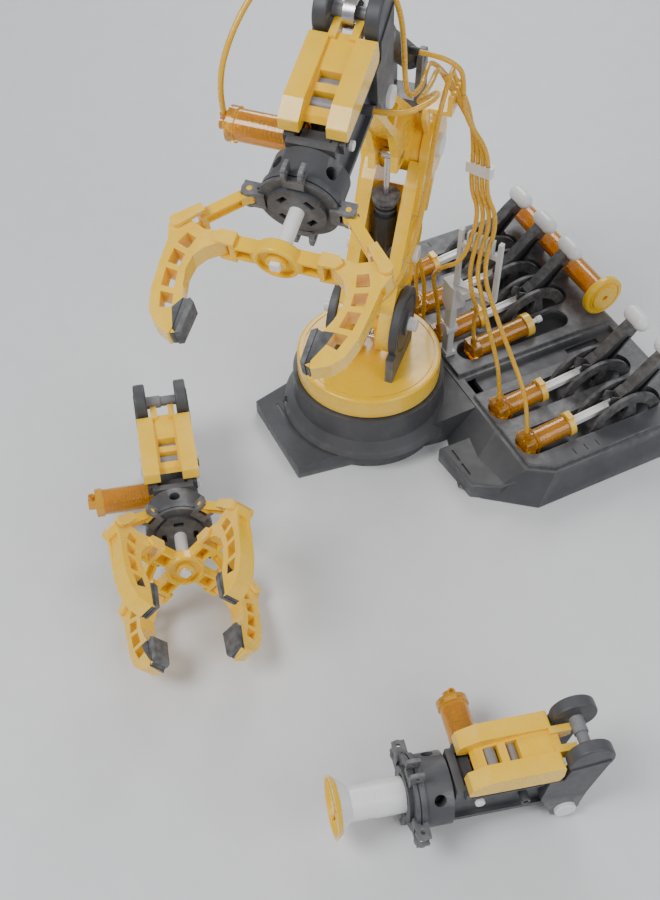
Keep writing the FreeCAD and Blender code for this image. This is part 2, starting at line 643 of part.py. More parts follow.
def forearm():
    y, z = elbow
    wy, wz = wrist
    sides = []
    for side in (-1, 1):
        low, high = sorted((side * 6.4, side * 12.3))
        outline = [along(elbow, wrist, 0, -20), along(elbow, wrist, 60, -17), along(elbow, wrist, 170, -11),
                   along(elbow, wrist, 188, -10), along(elbow, wrist, 188, 10), along(elbow, wrist, 90, 14),
                   (18, elbow_pin_z + 8), (18, elbow_pin_z - 7), (40, elbow_pin_z - 7), along(elbow, wrist, 0, 22)]
        plate = slab(outline, "x", low, high)
        tip = rod(11.0, (low, wy, wz), (high, wy, wz))
        sides += [plate, tip]
    drum = rod(26.0, (-drum_half, y, z), (drum_half, y, z))
    drum = rims(drum, 2.0, lambda c: True)
    webs = [slab([along(elbow, wrist, 20, -19), along(elbow, wrist, 176, -11), along(elbow, wrist, 176, -7),
                  along(elbow, wrist, 20, -14)], "x", -7, 7),
            slab([along(elbow, wrist, 70, 13), along(elbow, wrist, 172, 9), along(elbow, wrist, 172, 5),
                  along(elbow, wrist, 70, 9)], "x", -7, 7)]
    hub = rod(12.0, (-16.4, wy, wz), (16.4, wy, wz))
    body = fused(sides + [drum, hub] + webs)
    windows = [slab([along(elbow, wrist, a, -9), along(elbow, wrist, a + 26, -8), along(elbow, wrist, a + 26, 6),
                     along(elbow, wrist, a, 7)], "x", -13, 13) for a in (70.0, 104.0)]
    slot = [rod(3.1, (-30, a, elbow_pin_z), (30, a, elbow_pin_z)) for a in (25.0, 36.0)]
    slot.append(box(-30, 30, 25, 36, elbow_pin_z - 3.1, elbow_pin_z + 3.1))
    bores = [rod(pin_radius + fit, (-30, y, z), (30, y, z)), rod(pin_radius + fit, (-30, wy, wz), (30, wy, wz))]
    return body.cut(windows + bores + slot)


def pitch_mast():
    """Dark block on the elbow end of the forearm, with two cheeks that carry the tilt cylinder."""
    y, z = mast_head
    foot = slab([(58, 262), (98, 262), (88, z - 32), (64, z - 32)], "x", -12.3, 12.3)
    plates = []
    for side in (-1, 1):
        low, high = sorted((side * 10.2, side * 14.6))
        plate = slab([(64, z - 38), (88, z - 38), (y + 9, z), (y - 9, z)], "x", low, high)
        top = rod(9.0, (low, y, z), (high, y, z))
        hole = rod(4.0 + fit, (low - 1, y, z), (high + 1, y, z))
        plates.append(fused([plate, top]).cut(hole))
    return fused(plates + [foot]).cut(forearm())


def ear_rod_point():
    """Where the rod between the ears lies, in the arm's upright plane."""
    a = math.radians(wrist_tilt)
    y, z = ear_rod
    return (wrist[0] + y * math.cos(a) - z * math.sin(a), wrist[1] + y * math.sin(a) + z * math.cos(a))


def in_cylinder_line(distance):
    y, z = along(mast_head, ear_rod_point(), distance)
    return (0, y, z)


def pitch_cylinder():
    body = rod(9.6, in_cylinder_line(-11), in_cylinder_line(96))
    trunnion = rod(4.0, (-14.6, mast_head[0], mast_head[1]), (14.6, mast_head[0], mast_head[1]))
    ring = rod(11.4, in_cylinder_line(96), in_cylinder_line(101))
    spot = in_cylinder_line(35)
    nozzle = rod(3.2, (8.8, spot[1], spot[2]), (16.6, spot[1], spot[2]))
    whole = fused([body, trunnion, ring, nozzle])
    return whole.cut([rod(8.2, in_cylinder_line(6), in_cylinder_line(93)),
                      rod(2.6, in_cylinder_line(80), in_cylinder_line(103)),
                      rod(port_radius, (12.0, spot[1], spot[2]), (17, spot[1], spot[2]))])


def pitch_rod():
    """Piston and stem that end in a long eye around the rod between the ears."""
    span = math.hypot(ear_rod_point()[0] - mast_head[0], ear_rod_point()[1] - mast_head[1])
    piston = rod(8.14, in_cylinder_line(44), in_cylinder_line(50))
    stem = rod(2.5, in_cylinder_line(50), in_cylinder_line(span - 12))
    slot_near = in_cylinder_line(span - eye_slot)
    slot_far = in_cylinder_line(span)

    def bar(point, radius, half):
        return rod(radius, (-half, point[1], point[2]), (half, point[1], point[2]))

    def rounded_bar(radius, half):
        angle = math.degrees(math.atan2(slot_far[2] - slot_near[2], slot_far[1] - slot_near[1]))
        middle = box(-half, half, 0, eye_slot, -radius, radius)
        middle = moved(turned([middle], angle, X_AXIS), (0, slot_near[1], slot_near[2]))[0]
        return fused([bar(slot_near, radius, half), bar(slot_far, radius, half), middle])

    eye = rounded_bar(11.0, 4.0).cut(rounded_bar(8.2, 5.0))
    return fused([piston, stem, eye])


# ---------------------------------------------------------------- wrist unit

def wrist_frame():
    """Body box with rails, two side plates and the round ears that hold the tilt rod."""
    body = box(-16.8, 16.8, -86, -15, 3, 45)
    hollow = box(-12.5, 12.5, -80, -14, 7, 60)
    nose = slab([(-16.8, 6), (16.8, 6), (16.8, 33), (10, 41), (-10, 41), (-16.8, 33)], "y", -87, -70)
    rails = []
    for side in (-1, 1):
        x0, x1 = sorted((side * 16.8, side * 20.4))
        rails.append(box(x0, x1, -86, -4, 7, 11))
        rails.append(box(x0, x1, -80, -20, 36, 44))
        x0, x1 = sorted((side * plate_x[0], side * plate_x[1]))
        outline = [(-16, 8), (-9, -9), (7, -9), (11, 0), (13, 20), (ear_rod[0] + 14, ear_rod[1]), (ear_rod[0] - 15, ear_rod[1] - 6),
                   (-9.6, 45.9), (-20, 45.5), (-22, 20)]
        plate = slab(outline, "x", x0, x1)
        pivot = rod(11.5, (x0, 0, 0), (x1, 0, 0))
        ear_low, ear_high = sorted((side * 12.6, side * 22.6))
        ear = rims(rod(ear_radius, (ear_low, ear_rod[0], ear_rod[1]), (ear_high, ear_rod[0], ear_rod[1])), 1.6, lambda c: True)
        rails += [plate, pivot, ear]
    whole = fused([body.cut(hollow), nose] + rails)
    cuts = [rod(pin_radius + 0.0, (-30, 0, 0), (30, 0, 0)), rod(6.0, (0, -90, axis_z), (0, -60, axis_z)),
            rod(11.2, (-21, -63, axis_z), (-12, -63, axis_z)), rod(2.6, (16, -69, 31.8), (21, -69, 31.8)),
            rod(5.0, (-14, ear_rod[0], ear_rod[1]), (14, ear_rod[0], ear_rod[1]))]
    for side in (-1, 1):
        cuts.append(box(*sorted((side * 19.6, side * 22)), -76, -24, 38, 42))
    inlet = rod(3.4, (16, -35, 26), (25, -35, 26))
    cuts.append(rod(port_radius, (21, -35, 26), (26, -35, 26)))
    return whole.fuse(inlet).cut(cuts)


def wrist_cover():
    """Yellow hood: two tall side rails, a sloping middle with two windows, a front bar and a rear lug."""
    side_profile = [(-11, 64.5), (-64, 62.5), (-78, 56), (-79.6, 47), (-74, 46), (-13, 46), (-10.5, 52)]
    parts = []
    for side in (-1, 1):
        x0, x1 = sorted((side * 9.2, side * 23.0))
        rail = slab(side_profile, "x", x0, x1)
        parts.append(rounded(rail, 1.6, X_AXIS))
    middle = slab([(-8, 62), (-34, 60.5), (-68, 53), (-70.8, 49), (-66, 47), (-34, 53), (-10, 54)], "x", -9.4, 9.4)
    lug_side = [(2.4, 57.5), (2.4, 64.5), (-14, 64.5), (-14, 55), (-6, 54)]
    lugs = [slab(lug_side, "x", -10.2, -4.8), slab(lug_side, "x", 4.8, 10.2)]
    windows = [box(-7.4, 7.4, -46, -37.6, 40, 70), box(-7.4, 7.4, -62, -51.6, 40, 70)]
    cover = fused(parts + [middle] + lugs).cut(windows + [r for r in roller_bars(0.05)])
    under = box(-17.3, 17.3, -82, -12, 40, 45.3)
    return cover.cut(under)


def roller_bars(grow):
    return [rod(4.6 + grow, (-12.4 - grow, y, z), (12.4 + grow, y, z)) for y, z in ((-41.5, 50.4), (-57, 50.2))]


def wrist_rollers():
    rollers = roller_bars(0)
    rear, height = ear_rod
    thick = rod(5.4, (-12.6, rear, height), (-0.5, rear, height))
    thin = rod(4.4, (-0.5, rear, height), (12.6, rear, height))
    return rollers, fused([thick, thin])


def wrist_pins():
    pins = []
    for side in (-1, 1):
        cap = rims(rod(8.2, (side * plate_x[1], 0, 0), (side * (plate_x[1] + 3.4), 0, 0)), 1.0,
                   lambda c: abs(c.x) > plate_x[1] + 3)
        pins.append(cap)
    pins.append(rod(pin_radius, (-plate_x[1], 0, 0), (plate_x[1], 0, 0)))
    stud = rims(rod(3.6, (20.4, -69, 31.8), (23.2, -69, 31.8)), 0.8, lambda c: c.x > 23)
    peg = rod(2.6, (16.9, -69, 31.8), (20.4, -69, 31.8))
    return [fused(pins), stud.fuse(peg)]


def roll_cylinder():
    """Side cylinder that turns the nose, with its end cap and nozzle."""
    y, z = -63.0, axis_z
    body = rod(11.0, (-60, y, z), (-13, y, z))
    cap = rod(12.2, (-66, y, z), (-60, y, z))
    nozzle = rod(5.2, (-72.4, y, z), (-66, y, z))
    spout = rod(2.8, (-69, y, z + 2), (-69, y, z + 9))
    rim = rod(12.2, (-24, y, z), (-21.2, y, z))
    bore = rod(11.0 - tube_wall, (-59, y, z), (-15, y, z))
    port = rod(port_radius, (-69, y, z + 5.5), (-69, y, z + 10))
    return fused([body, cap, nozzle, spout, rim]).cut([bore, port])


def barrel():
    """Turning nose: a drilled drum, a grooved ring and four ears, each with two hooked prongs."""
    z = axis_z
    drum = rod(barrel_radius, (0, -108, z), (0, -88, z))
    ring = rod(27.6, (0, -116, z), (0, -108, z))
    front = rod(20.0, (0, -119, z), (0, -116, z))
    back = rod(20.0, (0, -88, z), (0, -87.2, z))
    parts = [drum, ring, front, back]
    for k in range(4):
        ear = box(22, 38, -118, -108.2, z - 7, z + 7).cut(box(28.2, 40, -125, -105, z - 4.2, z + 4.2))
        grip = [rod(5.2, (ear_pin_x, ear_pin_y, z - 7), (ear_pin_x, ear_pin_y, z - 4.2)),
                rod(5.2, (ear_pin_x, ear_pin_y, z + 4.2), (ear_pin_x, ear_pin_y, z + 7))]
        whole = fused([ear] + grip).cut(rod(1.96, (ear_pin_x, ear_pin_y, z - 8), (ear_pin_x, ear_pin_y, z + 8)))
        whole.rotate(V(0, 0, z), Y_AXIS, 90 * k)
        parts.append(whole)
    body = fused(parts)
    cuts = [rod(5.1 + fit, (0, -125, z), (0, -80, z)), tube(29, 26.6, (0, -113.2, z), (0, -112.2, z))]
    for k in range(4):
        hole = rod(4.4, (0, -98, z + 14), (0, -98, z + 30))
        hole.rotate(V(0, 0, z), Y_AXIS, 45 + 90 * k)
        cuts.append(hole)
        pocket = box(-4, 4, -120, -114, z + 11, z + 15)
        pocket.rotate(V(0, 0, z), Y_AXIS, 45 + 90 * k)
        cuts.append(pocket)
    return body.cut(cuts)


def grip_rod():
    z = axis_z
    shaft = rod(5.1, (0, -151, z), (0, -90, z))
    key = box(-3.4, 3.4, -163, -150, z - 3.4, z + 3.4)
    return fused([shaft, rounded(key, 0.8, Y_AXIS)])


def grip_hub(arms):
    """Round boss with one channel-shaped arm for each claw."""
    z = axis_z
    disc = rims(rod(15.5, (0, -160, z), (0, -150, z)), 1.6, lambda c: True)
    dish = tube(12.8, 7.0, (0, -161, z), (0, -157, z))
    parts = [disc.cut(dish)]
    for k in range(arms):
        arm = box(12, claw_x - 7, -159, -149, z - 6.2, z + 6.2)
        hollow = box(17, claw_x - 11, -161, -152, z - 4.2, z + 4.2)
        prongs = [slab([(claw_x - 8, -159), (claw_x - 8, -149), (claw_x + 1, -149), (claw_x + 4.6, -153.6), (claw_x + 1, -158.6)], "z",
                       z + a, z + b) for a, b in ((-9.8, -7.3), (7.3, 9.8))]
        bridge = [box(claw_x - 10.4, claw_x - 7.4, -159, -149, z - 9.8, z + 9.8)]
        pin = rod(2.2, (claw_x, claw_y, z - 9.8), (claw_x, claw_y, z + 9.8))
        whole = fused([arm.cut(hollow), pin] + prongs + bridge)
        whole.rotate(V(0, 0, z), Y_AXIS, -360.0 / arms * k)
        parts.append(whole)
    return fused(parts).cut(box(-3.45, 3.45, -165, -145, z - 3.45, z + 3.45).fuse(rod(5.2, (0, -151.0, z), (0, -149, z))))


def claw():
    """Curved claw in the (x, y) plane, with lightening windows and the pad holder at its tip."""
    z = axis_z
    outline = [(34.2, -156), (37.5, -148.8), (50, -150.5), (61, -146), (66, -143.6), (72.6, -147), (74, -153), (70.5, -163), (69.5, -180),
               (67.5, -200), (63.5, -214), (57, -222), (45.5, -227.5), (44.5, -222), (45.5, -200.5), (49, -192),
               (51.5, -181), (50.5, -171), (46, -163.5), (40, -159.2)]
    body = rounded(slab(outline, "z", z - claw_half, z + claw_half), 1.2, Z_AXIS)
    rib_pocket = [[(53, -158), (60, -155.5), (63.5, -164), (55, -167)],
                  [(55.4, -171), (64, -168.5), (64.2, -179), (56, -180)],
                  [(55.6, -184), (63.8, -183), (62.2, -196), (53.6, -196)],
                  [(52.4, -200), (61, -200), (57.4, -211), (50, -209)]]
    cuts = [slab(points, "z", z - 10, z + 10) for points in rib_pocket]
    cuts += [slab([(44, -153), (57, -150.5), (57.5, -148), (44, -145)], "z", z - 4.6, z + 4.6),
             box(69.0, 80, -200, -160, z - 4.6, z + 4.6)]
    cuts.append(rod(2.2 + fit, (claw_x, claw_y, z - 12), (claw_x, claw_y, z + 12)))
    holder = slab([(45.2, -201), (44.6, -226), (41.6, -225), (41.6, -200)], "z", z - 6.4, z + 6.4)
    pad = slab([(41.6, -199.5), (41.6, -225.5), (38.4, -224), (38.0, -202)], "z", z - 7.2, z + 7.2)
    eye = tube(3.4, 1.9, (joint_x, joint_y, z + claw_half - 0.1), (joint_x, joint_y, z + claw_half))
    return [fused([body.cut(cuts), holder]), pad.cut(eye)]


def link():
    """Channel link from a barrel ear to the claw's elbow; its outer eyes straddle the claw."""
    z = axis_z
    a = (ear_pin_x, ear_pin_y)
    b = (joint_x, joint_y)
    dx, dy = b[0] - a[0], b[1] - a[1]
    length = math.hypot(dx, dy)
    ux, uy = dx / length, dy / length

    def spot(distance, offset):
        return (a[0] + ux * distance + uy * offset, a[1] + uy * distance - ux * offset)

    bar = slab([spot(-1, 3.6), spot(length - 15, 3.6), spot(length - 15, -3.6), spot(-1, -3.6)], "z", z - 3.9, z + 3.9)
    bar = bar.cut(slab([spot(8, 5), spot(length - 19, 5), spot(length - 19, 1.2), spot(8, 1.2)], "z", z - 2.6, z + 2.6))
    eye = rod(4.8, (a[0], a[1], z - 3.9), (a[0], a[1], z + 3.9))
    yoke = slab([spot(length - 19, 3.6), spot(length - 15, 2.0), spot(length - 14, -3.6), spot(length - 19, -3.6)],
                "z", z - 10.4, z + 10.4)
    parts = [bar, eye, yoke]
    for low, high in ((-10.4, -7.4), (7.4, 10.4)):
        parts.append(slab([spot(length - 17, 3.0), spot(length, 4.2), spot(length, -4.2), spot(length - 17, -3.6)],
                          "z", z + low, z + high))
        parts.append(rod(4.4, (b[0], b[1], z + low), (b[0], b[1], z + high)))
    pin = rod(1.9, (a[0], a[1], z - 6.8), (a[0], a[1], z + 6.8))
    return fused(parts + [pin])


# ---------------------------------------------------------------- heads

def sucker_head():
    z = axis_z
    body = fused([rod(13.0, (0, -141, z), (0, -119, z)), rod(12.6, (0, -158, z), (0, -141, z)),
                  Part.makeCone(20.5, 12.6, 9, V(0, -167, z), Y_AXIS)])
    bore = Part.makeCone(18.5, 9.0, 14, V(0, -168, z), Y_AXIS)
    cup = Part.makeCone(23.5, 20.5, 4.0, V(0, -171.1, z), Y_AXIS).cut(Part.makeCone(21.5, 18.5, 5.0, V(0, -171.6, z), Y_AXIS))
    spokes = [box(-21.0, 21.0, -169.6, -168.2, z - 1.4, z + 1.4), box(-1.4, 1.4, -169.6, -168.2, z - 21.0, z + 21.0)]
    return body.cut(bore), fused([cup, rod(5, (0, -170, z), (0, -167.9, z))] + spokes)


def with_axis(shapes, angle):
    """Turn pieces about the wrist unit's own axis."""
    return turned(shapes, angle, Y_AXIS, (0, 0, axis_z))


def wrist_unit():
    rollers, tilt_rod = wrist_rollers()
    return {"frame": [wrist_frame()], "cover": [wrist_cover()], "rollers": rollers + [tilt_rod],
            "pins": wrist_pins(), "cylinder": [roll_cylinder()], "barrel": [barrel()]}


def place_arm(shapes):
    return turned(shapes, arm_yaw)


def place_wrist(shapes):
    tilted_unit = turned(shapes, wrist_tilt, X_AXIS)
    return place_arm(moved(tilted_unit, (0, wrist[0], wrist[1])))


def lay_head(head, lean, yaw, spot):
    """Lay a head on the floor: nose raised by lean, turned by yaw, with its pivot over a spot."""
    laid = {name: turned(turned(shapes, -lean, X_AXIS), yaw) for name, shapes in head.items()}
    lowest = min(s.optimalBoundingBox().ZMin for shapes in laid.values() for s in shapes)
    return {name: moved(shapes, (spot[0], spot[1], -lowest)) for name, shapes in laid.items()}


# ---------------------------------------------------------------- hoses

def arm_point(x, y, z):
    """A point of the arm's upright plane, in the base's frame."""
    c, s = math.cos(math.radians(arm_yaw)), math.sin(math.radians(arm_yaw))
    return (x * c - y * s, x * s + y * c, z)


def clip_spot(slot, z):
    """Where the hose of one comb slot passes the clip."""
    c, s = math.cos(math.radians(30)), math.sin(math.radians(30))
    return (0.8 * slot * c, 98 + 0.8 * slot * s, z)


def comb_run(slot):
    """The last stretch from the front of the comb, over its slot and up to the clip."""
    c, s = math.cos(math.radians(30)), math.sin(math.radians(30))
    x, y = 16 + slot * c, 97 + slot * s
    return [(x + 6, y - 10.4, 164), (x - 5, y + 8.7, 202), clip_spot(slot, 226), clip_spot(slot, clip_z)]


def bracket_run(slot, y):
    """From the clip up to the slotted bracket on the boom."""
    return [clip_spot(slot, clip_z), clip_spot(slot, 266), arm_point(52, y, 299)]


def onward(route, reach):
    """The first two points of a hose that carries on where another one ends, in the same direction."""
    (ax, ay, az), (bx, by, bz) = route[-2:]
    length = math.dist(route[-2], route[-1])
    step = [(bx - ax) / length, (by - ay) / length, (bz - az) / length]
    return [(bx + d * step[0], by + d * step[1], bz + d * step[2]) for d in (hose_gap, reach)]


def riser_routes():
    elbow_hose = [(-28, 91.5, 48.5), (-28, 88.5, 74), (-26, 82, 100), (-20, 74, 126), (-4, 72, 148)]
    roll_hose = [(3, 111.5, 47.5), (3.5, 108, 74), (13, 104, 97), (24, 94, 116), (26, 85, 140)]
    grip_hose = [(81, 91.5, 48.5), (81, 88.5, 74), (77, 85, 100), (60, 84, 124), (42, 86, 144)]
    tilt_hose = [(127, 91.5, 48.5), (127, 88.5, 74), (118, 86, 102), (92, 86, 122), (62, 88, 140)]
    slew_hose = [(-116, 91.5, 48.5), (-116, 88.5, 76), (-112, 84, 104), (-98, 80, 126), (-74, 77, 135),
                 (-54, 78, 122), (-48.5, 83, 96), (-50, 87, 66), (-50, 87, 33)]
    shoulder_hose = [(-72, 91.5, 48.5), (-72, 89, 76), (-72, 90, 108), (-69, 84, 134), (-59, 70, 150),
                     (-47, 53, 148), arm_point(0, 57.5, 130), arm_point(0, 57.5, 108)]
    return [elbow_hose + comb_run(-9), roll_hose + comb_run(-3), grip_hose + comb_run(3),
            tilt_hose + comb_run(9), slew_hose, shoulder_hose]


def bundle_routes():
    elbow_hose = [(36, 80, 324), (41, 64, 341), (41, 41, 336), (40, 22, 310), (40, 12, 278), (39, 2, 246),
                  (37, -14, 216), (30, -29, 192), (16, -36, 172), (3, -26, 162), (0, -4, 160), (0, 20, 160)]
    roll_hose = [(36, 74, 322), (30, 66, 334)]
    grip_hose = [(36, 68, 322), (34, 58, 335)]
    tilt_hose = [(51, 60, 320)]
    return [bracket_run(-9, 80) + [arm_point(*p) for p in elbow_hose],
            bracket_run(-3, 74) + [arm_point(*p) for p in roll_hose],
            bracket_run(3, 68) + [arm_point(*p) for p in grip_hose],
            bracket_run(9, 62) + [arm_point(*p) for p in tilt_hose]]


def fore_routes():
    bundle = bundle_routes()
    roll_hose = [(25, 36, 346.5), (27, 19, 346), (27, 2, 352)]
    grip_hose = [(33, 24, 346), (33, 0, 352)]
    tilt_hose = [(46, 53, 348), (32, 47.7, 356.9), (12.8, 47.7, 356.9)]
    routes = []
    for before, after in zip(bundle[1:], (roll_hose, grip_hose, tilt_hose)):
        routes.append(onward(before, 17.0) + [arm_point(*p) for p in after])
    return routes


def wrist_routes():
    fore = fore_routes()
    roll_hose = [(27, -30, 384), (27, -36, 414), (25, -44, 444), (16, -54, 470),
                 (-4, -64, 488), (-28, -76, 490), (-50, -92, 478), (-64, -114, 452), (-69, -132.9, 421.2),
                 (-69, -124.0, 391.8)]
    grip_hose = [(46, -34, 376), (59, -56, 396), (59, -80, 403),
                 (43, -97.1, 399.7), (21.8, -97.1, 399.7)]
    routes = []
    for before, after in zip(fore, (roll_hose, grip_hose)):
        routes.append(onward(before, 18.0) + [arm_point(*p) for p in after])
    return routes


def hose_clip():
    """White bar with one hole for each hose, held by the hoses themselves."""
    bar = rounded(box(-12, 12, -3.4, 3.4, -5, 5), 1.5, Z_AXIS)
    holes = [rod(port_radius, (0.8 * s, 0, -6), (0.8 * s, 0, 6)) for s in comb_slots[1:5]]
    bar = bar.cut(holes)
    return moved(turned([bar], 30), (0, 98, clip_z))


def write(name, shapes):
    solid = shapes[0] if len(shapes) == 1 else Part.makeCompound(shapes)
    for piece in solid.Solids:
        if not piece.isValid() or piece.Volume <= 0:
            print("BAD SOLID in", name, piece.Volume)
    solid.exportStep("parts/%s.step" % name)
    print(name, len(solid.Solids), "%.0f" % solid.Volume)


def write_base():
    write("base_housing", [base_housing()])
    write("bottom_cover", [bottom_cover()])
    write("deck_panels", deck_panels())
    write("lever_guards", lever_guards())
    masters = []
    collars = []
    for number, x in enumerate(lever_columns, 1):
        masters += master_cylinder(x, cylinder_front)
        collars += collar(x, cylinder_front)
        write("push_rod_%d" % number, push_rod(x, cylinder_front))
        write("lever_%d" % number, lever(x))
    masters += pump_body(pump_x, cylinder_front + pump_shift)
    masters.append(slew_cylinder())
    collars += pump_collar(pump_x, cylinder_front + pump_shift)
    write("master_cylinders", masters)
    write("cylinder_collars", collars)
    write("pump_plunger", pump_plunger(pump_x, cylinder_front + pump_shift))
    write("reservoir_tube", [reservoir_tube()])
    write("reservoir_cap", [reservoir_cap()])
    write("slew_rack", [slew_rack()])
    write("hose_stand", [hose_stand()])


def write_arm():
    write("turntable", place_arm([turntable()]))
    write("slew_pinion", [slew_pinion()])
    write("shoulder_bracket", place_arm(shoulder_bracket()))
    write("shoulder_slave", place_arm([shoulder_slave()]))
    write("shoulder_rod", place_arm([shoulder_rod()]))
    write("boom_shells", place_arm([boom_shells()]))
    write("boom_pins", place_arm(boom_pins()))
    write("elbow_slave", place_arm([elbow_slave()]))
    write("elbow_rod", place_arm([elbow_rod()]))
    write("hose_bracket", place_arm([hose_bracket()]))
    write("forearm", place_arm([forearm()]))
    write("pitch_mast", place_arm([pitch_mast()]))
    write("pitch_cylinder", place_arm([pitch_cylinder()]))
    write("pitch_rod", place_arm([pitch_rod()]))


def write_wrist():
    unit = wrist_unit()
    for part, name in (("frame", "wrist_frame"), ("cover", "wrist_cover"), ("rollers", "wrist_rollers"),
                       ("pins", "wrist_pins"), ("cylinder", "roll_cylinder"), ("barrel", "barrel")):
        write(name, place_wrist(unit[part]))
    write("grip_rod", place_wrist([grip_rod()]))
    write("grip_hub", place_wrist([grip_hub(2)]))
    right = claw()
    left = with_axis(right, 180)
    write("claw_right", place_wrist(right))
    write("claw_left", place_wrist(left))
    write("link_right", place_wrist([link()]))
    write("link_left", place_wrist(with_axis([link()], 180)))


def write_spares():
    tube_body, cup = sucker_head()
    sucker = wrist_unit()
    sucker["pins"].append(tube_body)
    sucker["head"] = [cup]
    grapple = wrist_unit()
    quarter = lambda shapes: with_axis(shapes, 45)
    grapple["barrel"] = quarter(grapple["barrel"])
    grapple["pins"] += quarter([grip_rod()])
    grapple["head"] = quarter([grip_hub(4)])
    for k in range(4):
        grapple["head"] += quarter(with_axis(claw() + [link()], 90 * k))
    sucker = lay_head(sucker, sucker_lean, sucker_yaw, sucker_at)
    grapple = lay_head(grapple, grapple_lean, grapple_yaw, grapple_at)
    for part in ("frame", "cover", "rollers", "cylinder", "barrel", "pins"):
        write("spare_%s" % part, grapple[part] + sucker[part])
    write("grapple_head", grapple["head"])
    write("sucker_cup", sucker["head"])


def write_hoses():
    for name, routes in (("hose_riser", riser_routes()), ("hose_bundle", bundle_routes()),
                         ("hose_fore", fore_routes()), ("hose_wrist", wrist_routes())):
        write(name, [hose(name, route) for route in routes])
    write("hose_clip", hose_clip())


os.makedirs("parts", exist_ok=True)
write_base()
write_arm()
write_wrist()
write_spares()
write_hoses()
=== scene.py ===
import json
import math

import bmesh
import bpy
from mathutils import Matrix, Vector


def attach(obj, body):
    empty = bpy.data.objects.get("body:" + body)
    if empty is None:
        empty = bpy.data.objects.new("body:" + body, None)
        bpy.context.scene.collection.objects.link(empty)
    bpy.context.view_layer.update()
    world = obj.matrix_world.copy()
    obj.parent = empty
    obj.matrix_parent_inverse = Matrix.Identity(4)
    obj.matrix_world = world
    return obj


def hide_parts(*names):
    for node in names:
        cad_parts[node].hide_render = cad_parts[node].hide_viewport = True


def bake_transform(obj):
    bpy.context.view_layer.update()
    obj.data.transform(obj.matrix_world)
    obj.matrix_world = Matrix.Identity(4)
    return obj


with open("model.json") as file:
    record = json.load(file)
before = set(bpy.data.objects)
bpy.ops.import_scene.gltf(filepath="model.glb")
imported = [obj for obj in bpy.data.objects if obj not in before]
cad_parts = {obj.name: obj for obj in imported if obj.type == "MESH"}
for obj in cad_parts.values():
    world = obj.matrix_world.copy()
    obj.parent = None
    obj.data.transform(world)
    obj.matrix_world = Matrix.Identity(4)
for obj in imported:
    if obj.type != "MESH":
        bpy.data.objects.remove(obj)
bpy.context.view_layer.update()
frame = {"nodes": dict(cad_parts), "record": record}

NODES = frame["nodes"]

# ---------------------------------------------------------------- camera

camera_data = bpy.data.cameras.new("camera")
camera_data.lens = 49.12
camera_data.sensor_width = 36.0
camera_data.shift_x = 0.0056
camera_data.clip_start = 0.01
camera = bpy.data.objects.new("camera", camera_data)
camera.location = (0.68605, -0.38689, 0.86605)
camera.rotation_euler = (math.radians(90 - 49.6), 0.0, math.radians(63.47))
bpy.context.collection.objects.link(camera)
bpy.context.scene.camera = camera

# ---------------------------------------------------------------- hoses

ARM_YAW = math.radians(44.4)
HOSE_DIAMETER = 0.004


def arm(x, y, z):
    """A point of the arm's upright plane, in millimetres of the row frame."""
    c, s = math.cos(ARM_YAW), math.sin(ARM_YAW)
    return (x * c - y * s, x * s + y * c, z)


def clip_spot(slot, z):
    """Where the hose of one comb slot passes the clip."""
    c, s = math.cos(math.radians(30)), math.sin(math.radians(30))
    return (0.8 * slot * c, 98 + 0.8 * slot * s, z)


def comb_run(slot):
    """The last stretch over one slot of the comb and up to the clip."""
    c, s = math.cos(math.radians(30)), math.sin(math.radians(30))
    x, y = 16 + slot * c, 97 + slot * s
    return [(x + 6, y - 10.4, 164), (x - 5, y + 8.7, 202), clip_spot(slot, 226), clip_spot(slot, 247)]


def bracket_run(slot, y):
    """From the clip up to the slotted bracket on the boom."""
    return [clip_spot(slot, 247), clip_spot(slot, 266), arm(52, y, 299)]


def onward(route, reach):
    """The first two points of a hose that carries straight on from the end of another."""
    before, end = Vector(route[-2]), Vector(route[-1])
    return [tuple(end), tuple(end + (end - before).normalized() * reach)]


def in_arm(points):
    return [arm(*p) for p in points]


def mesh_object(name, verts, faces, smooth=True):
    mesh = bpy.data.meshes.new(name)
    mesh.from_pydata([tuple(v) for v in verts], [], faces)
    mesh.validate()
    mesh.update()
    for polygon in mesh.polygons:
        polygon.use_smooth = smooth
    obj = bpy.data.objects.new(name, mesh)
    bpy.context.collection.objects.link(obj)
    return obj


def spline_points(name, route):
    """Points read from the NURBS curve whose control points are the route, in metres."""
    data = bpy.data.curves.new(name + "_line", "CURVE")
    data.dimensions = "3D"
    spline = data.splines.new("NURBS")
    spline.points.add(len(route) - 1)
    for point, spot in zip(spline.points, route):
        point.co = (spot[0] / 1000, spot[1] / 1000, spot[2] / 1000, 1.0)
    spline.order_u = 3
    spline.use_endpoint_u = True
    spline.resolution_u = 10
    guide = bpy.data.objects.new(name + "_line", data)
    mesh = bpy.data.meshes.new_from_object(guide)
    points = [v.co.copy() for v in mesh.vertices]
    bpy.data.meshes.remove(mesh)
    bpy.data.objects.remove(guide)
    bpy.data.curves.remove(data)
    return points


def tube_mesh(name, points, radius, sides=12):
    """A tube round a line of points, with closed ends."""
    verts, faces = [], []
    normal = None
    last = len(points) - 1
    for i, point in enumerate(points):
        along = (points[min(i + 1, last)] - points[max(i - 1, 0)]).normalized()
        if normal is None:
            normal = along.orthogonal().normalized()
        normal = (normal - along * normal.dot(along)).normalized()
        side = along.cross(normal)
        for k in range(sides):
            a = 2 * math.pi * k / sides
            verts.append(point + (normal * math.cos(a) + side * math.sin(a)) * radius)
    for i in range(last):
        for k in range(sides):
            n = (k + 1) % sides
            faces.append((i * sides + k, i * sides + n, (i + 1) * sides + n, (i + 1) * sides + k))
    faces.append(tuple(range(sides - 1, -1, -1)))
    faces.append(tuple(last * sides + k for k in range(sides)))
    return mesh_object(name, verts, faces)


HOSES = []


